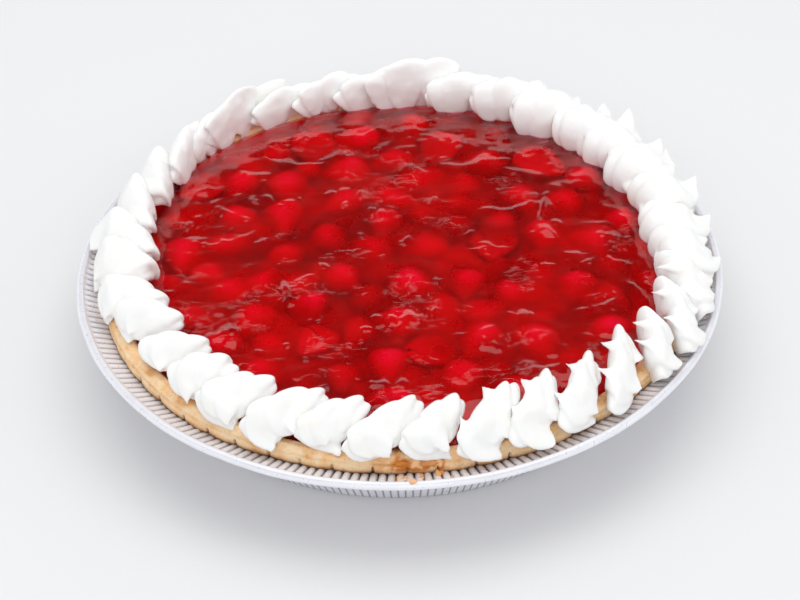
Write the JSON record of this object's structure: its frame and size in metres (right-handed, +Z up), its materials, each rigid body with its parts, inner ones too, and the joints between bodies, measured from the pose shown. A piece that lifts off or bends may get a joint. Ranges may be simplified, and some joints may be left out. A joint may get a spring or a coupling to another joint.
{
  "type": "strawberry pie",
  "caption": "Round strawberry pie in its fluted foil tin: a shortcrust shell, a glossy set strawberry filling and a ring of piped whipped cream.",
  "frame": {"origin": "middle of the tin's underside, on the surface it stands on", "axes": "+Z up out of the pie; -Y towards the side shown nearest in the picture; +X to that viewer's right"},
  "size_m": [0.252, 0.252, 0.057],
  "materials": {
    "foil": "thin bright foil with fine radial flutes and a rolled rim",
    "pastry": "baked shortcrust, sandy gold, browner on its ridges",
    "filling": "clear red gel with a wet shine over whole and halved strawberries",
    "cream": "whipped cream with soft piped ridges"
  },
  "bodies": {
    "root": {"foil_tin": "foil", "crust": "pastry", "strawberry_filling": "filling", "cream_shell_01": "cream", "cream_shell_02": "cream", "cream_shell_03": "cream", "cream_shell_04": "cream", "cream_shell_05": "cream", "cream_shell_06": "cream", "cream_shell_07": "cream", "cream_shell_08": "cream", "cream_shell_09": "cream", "cream_shell_10": "cream", "cream_shell_11": "cream", "cream_shell_12": "cream", "cream_shell_13": "cream", "cream_shell_14": "cream", "cream_shell_15": "cream", "cream_shell_16": "cream", "cream_shell_17": "cream", "cream_shell_18": "cream", "cream_shell_19": "cream", "cream_shell_20": "cream", "cream_shell_21": "cream", "cream_shell_22": "cream", "cream_shell_23": "cream", "cream_shell_24": "cream", "cream_shell_25": "cream", "cream_shell_26": "cream", "cream_shell_27": "cream", "cream_shell_28": "cream", "cream_shell_29": "cream", "cream_shell_30": "cream", "cream_shell_31": "cream", "cream_shell_32": "cream", "cream_shell_33": "cream", "cream_shell_34": "cream", "cream_shell_35": "cream", "cream_shell_36": "cream"}
  },
  "joints": []
}
